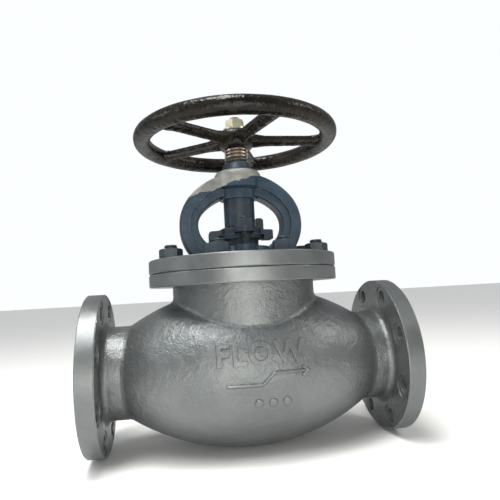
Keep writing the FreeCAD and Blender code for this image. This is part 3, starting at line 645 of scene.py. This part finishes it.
def spoke_grid(angle):
    """A spoke: a rounded flat top with a rib under it, wider at both ends by a bell of each distance.

    Across it is w/2 cos v with its corners squared, and it rises h sin v above and falls below as a
    flat plate and a narrow rib.
    """
    start, end = hub_radius * 0.6, rim_reach
    along = np.linspace(start, end, 90)[:, None]
    share = (along - start) / (end - start)
    at_hub = np.exp(-((along - hub_radius) / 0.011) ** 2)
    at_rim = np.exp(-((end - rim_section / 2.0 - along) / 0.008) ** 2)
    swell = at_hub + 0.9 * at_rim
    width = spoke_at_hub + (spoke_at_rim - spoke_at_hub) * share + 0.0070 * swell
    turn = np.linspace(0.0, 2.0 * math.pi, 48, endpoint=False)
    across = width / 2.0 * np.sign(np.cos(turn)) * np.abs(np.cos(turn)) ** 0.55
    top = 0.0068 - 0.0012 * share + 0.0016 * swell
    rib = np.exp(-(across / (0.20 * width)) ** 2)
    under = 0.0030 + (0.0050 - 0.0012 * share + 0.0018 * swell) * rib
    rise = np.where(np.sin(turn) > 0, top, under) * np.sign(np.sin(turn)) * np.abs(np.sin(turn)) ** 0.6
    rise = rise + lumps(along * 60.0, turn, 0.00025)
    centre = rim_height - 0.0008 + 0.0 * along
    ends = np.ones_like(share)
    ends[0] = ends[-1] = 0.0
    across, rise = across * ends, rise * ends
    x = stem_axis + along * math.cos(angle) - across * math.sin(angle)
    y = along * math.sin(angle) + across * math.cos(angle)
    return np.stack([x, y, centre + rise], -1)


def hub_grid():
    """A domed barrel turned round the stem's axis: up the outside as a squared ellipse, down the hole."""
    middle = (hub_bottom + hub_top) / 2.0
    half = (hub_top - hub_bottom) / 2.0
    bend = np.linspace(-math.pi / 2.0, math.pi / 2.0, 40)
    spread = hub_hole + (hub_radius - hub_hole) * np.abs(np.cos(bend)) ** 0.55
    level = middle + half * np.sign(np.sin(bend)) * np.abs(np.sin(bend)) ** 0.8
    spread, level = spread[:, None], level[:, None]
    turn = np.linspace(0.0, 2.0 * math.pi, 96, endpoint=False)
    spread = spread + lumps(turn, level * 40.0, 0.0002)
    x = stem_axis + spread * np.cos(turn)
    y = spread * np.sin(turn)
    z = level + 0.0 * turn
    return np.stack([x, y, z], -1)


def make_enamel():
    """Thick gloss black over a lumpy casting, thinner and browner in patches."""
    material, tree, shader, place = start_material("black_enamel")
    patches = noise(tree, place, 30.0, 5.0, 0.6, 0.5)
    thin = ramp(tree, patches, 0.38, 0.68)
    colour = blend_colours(tree, thin, (0.0035, 0.0033, 0.0030, 1.0), (0.016, 0.013, 0.008, 1.0))
    worn = arithmetic(tree, "MULTIPLY", edge_share(tree, 0.0012, place), 0.2)
    colour = blend_colours(tree, worn, colour, (0.08, 0.07, 0.05, 1.0))
    bumps = noise(tree, place, 150.0, 2.0, 0.5)
    dents = noise(tree, place, 60.0, 2.0, 0.5)
    level = arithmetic(tree, "ADD", bumps, arithmetic(tree, "MULTIPLY", dents, 1.6))
    relief = add_node(tree, "Bump", {"Height": level, "Strength": 1.0, "Distance": 0.0013}).outputs[0]
    gloss = ramp(tree, patches, 0.3, 0.7, 0.20, 0.32)
    set_shader(tree, shader, Base_Color=colour, Roughness=gloss, Metallic=0.0, Normal=relief,
               Specular_IOR_Level=0.20)
    return material


wheel_grids = [(rim_grid(), True), (hub_grid(), True)]
for index in range(spoke_count):
    wheel_grids.append((spoke_grid(2.0 * math.pi * index / spoke_count), False))
skin("handwheel_casting", wheel_grids, make_enamel(), "spindle", ("handwheel",))

# ---------------------------------------------------------------- wheel nut and washer
# A zinc-plated washer and a hexagon nut, passivated pale yellow, hold the wheel on the stem's tip.


def make_passivated():
    """Zinc under a pale yellow film that is uneven in colour and gloss."""
    material, tree, shader, place = start_material("passivated_steel")
    film = noise(tree, place, 75.0, 4.0, 0.6)
    thick = ramp(tree, film, 0.35, 0.68)
    colour = blend_colours(tree, thick, (0.66, 0.62, 0.47, 1.0), (0.45, 0.40, 0.27, 1.0))
    worn = arithmetic(tree, "MULTIPLY", edge_share(tree, 0.0008, place), 0.5)
    colour = blend_colours(tree, worn, colour, (0.72, 0.70, 0.62, 1.0))
    relief = add_node(tree, "Bump", {"Height": film, "Strength": 0.4, "Distance": 0.0003}).outputs[0]
    gloss = ramp(tree, film, 0.3, 0.7, 0.28, 0.45)
    set_shader(tree, shader, Base_Color=colour, Roughness=gloss, Metallic=0.85, Normal=relief)
    return material


passivated = make_passivated()
dress("handwheel_nut", passivated)
dress("handwheel_washer", passivated)

# ---------------------------------------------------------------- floor, light and camera
# The valve stands on a pale floor in a plain studio: a wide soft light overhead, weaker ones from both
# sides and from low in front, soft daylight from above the front left, and pale surroundings.
floor_height = body_low.z - 0.0005
warm_light = (1.0, 0.97, 0.92)


def make_floor():
    """One wide flat sheet, just under the lowest point of the flanges."""
    mesh = bpy.data.meshes.new("floor")
    half = 20.0
    corners = [(-half, -half), (half, -half), (half, half), (-half, half)]
    mesh.from_pydata([(x, y, floor_height) for x, y in corners], [], [(0, 1, 2, 3)])
    material, tree, shader, place = start_material("pale_floor")
    set_shader(tree, shader, Base_Color=(0.90, 0.90, 0.89, 1.0), Roughness=0.7)
    mesh.materials.append(material)
    floor = bpy.data.objects.new("floor", mesh)
    bpy.context.scene.collection.objects.link(floor)


def soft_light(name, place, target, size, power, colour):
    """A round area light at place, turned towards the target, with its size in metres."""
    light = bpy.data.lights.new(name, "AREA")
    light.shape = "DISK"
    light.size = size
    light.energy = power
    light.color = colour
    lamp = bpy.data.objects.new(name, light)
    lamp.location = place
    lamp.rotation_euler = (Vector(target) - Vector(place)).to_track_quat("-Z", "Y").to_euler()
    bpy.context.scene.collection.objects.link(lamp)


make_floor()
aim = (stem_axis, 0.0, 0.08)
soft_light("overhead", (stem_axis - 0.35, -0.35, 1.70), aim, 0.8, 30.0, warm_light)
soft_light("left_window", (stem_axis - 1.5, -0.2, 0.75), aim, 0.6, 4.0, (0.90, 0.96, 1.0))
soft_light("right_window", (stem_axis + 1.4, -0.5, 1.0), aim, 0.6, 6.0, warm_light)
low_front = (stem_axis - 0.05, -0.95, floor_height + 0.03)
soft_light("floor_bounce", low_front, (stem_axis, 0.0, -0.06), 0.9, 8.0, (1.0, 0.97, 0.90))
sun = bpy.data.lights.new("daylight", "SUN")
sun.energy = 1.2
sun.angle = math.radians(24.0)
daylight = bpy.data.objects.new("daylight", sun)
daylight.rotation_euler = Vector((0.35, 0.55, -1.0)).to_track_quat("-Z", "Y").to_euler()
bpy.context.scene.collection.objects.link(daylight)

world = bpy.data.worlds.new("studio")
world.use_nodes = True
bpy.context.scene.world = world
sky = world.node_tree.nodes["Background"]
sky.inputs["Color"].default_value = (0.93, 0.95, 0.97, 1.0)
backdrop = add_node(world.node_tree, "LightPath").outputs["Is Camera Ray"]
world.node_tree.links.new(ramp(world.node_tree, backdrop, 0.0, 1.0, 0.38, 1.05), sky.inputs["Strength"])
bpy.context.scene.view_settings.view_transform = "Standard"

# The camera stands a little left of the valve and below the wheel, and looks slightly up at it.
eye = Vector((stem_axis - 0.0883, -0.6635, 0.0976))
swing = math.radians(8.649)
tilt = math.radians(5.126)
roll = math.radians(-3.151)
lens = bpy.data.cameras.new("camera")
lens.sensor_width = 36.0
lens.lens = 33.86
lens.clip_end = 60.0
camera = bpy.data.objects.new("camera", lens)
heading = Matrix.Rotation(-swing, 4, "Z") @ Matrix.Rotation(math.pi / 2.0 + tilt, 4, "X")
turned = heading @ Matrix.Rotation(roll, 4, "Z")
camera.matrix_world = Matrix.Translation(eye) @ turned
bpy.context.scene.collection.objects.link(camera)
bpy.context.scene.camera = camera
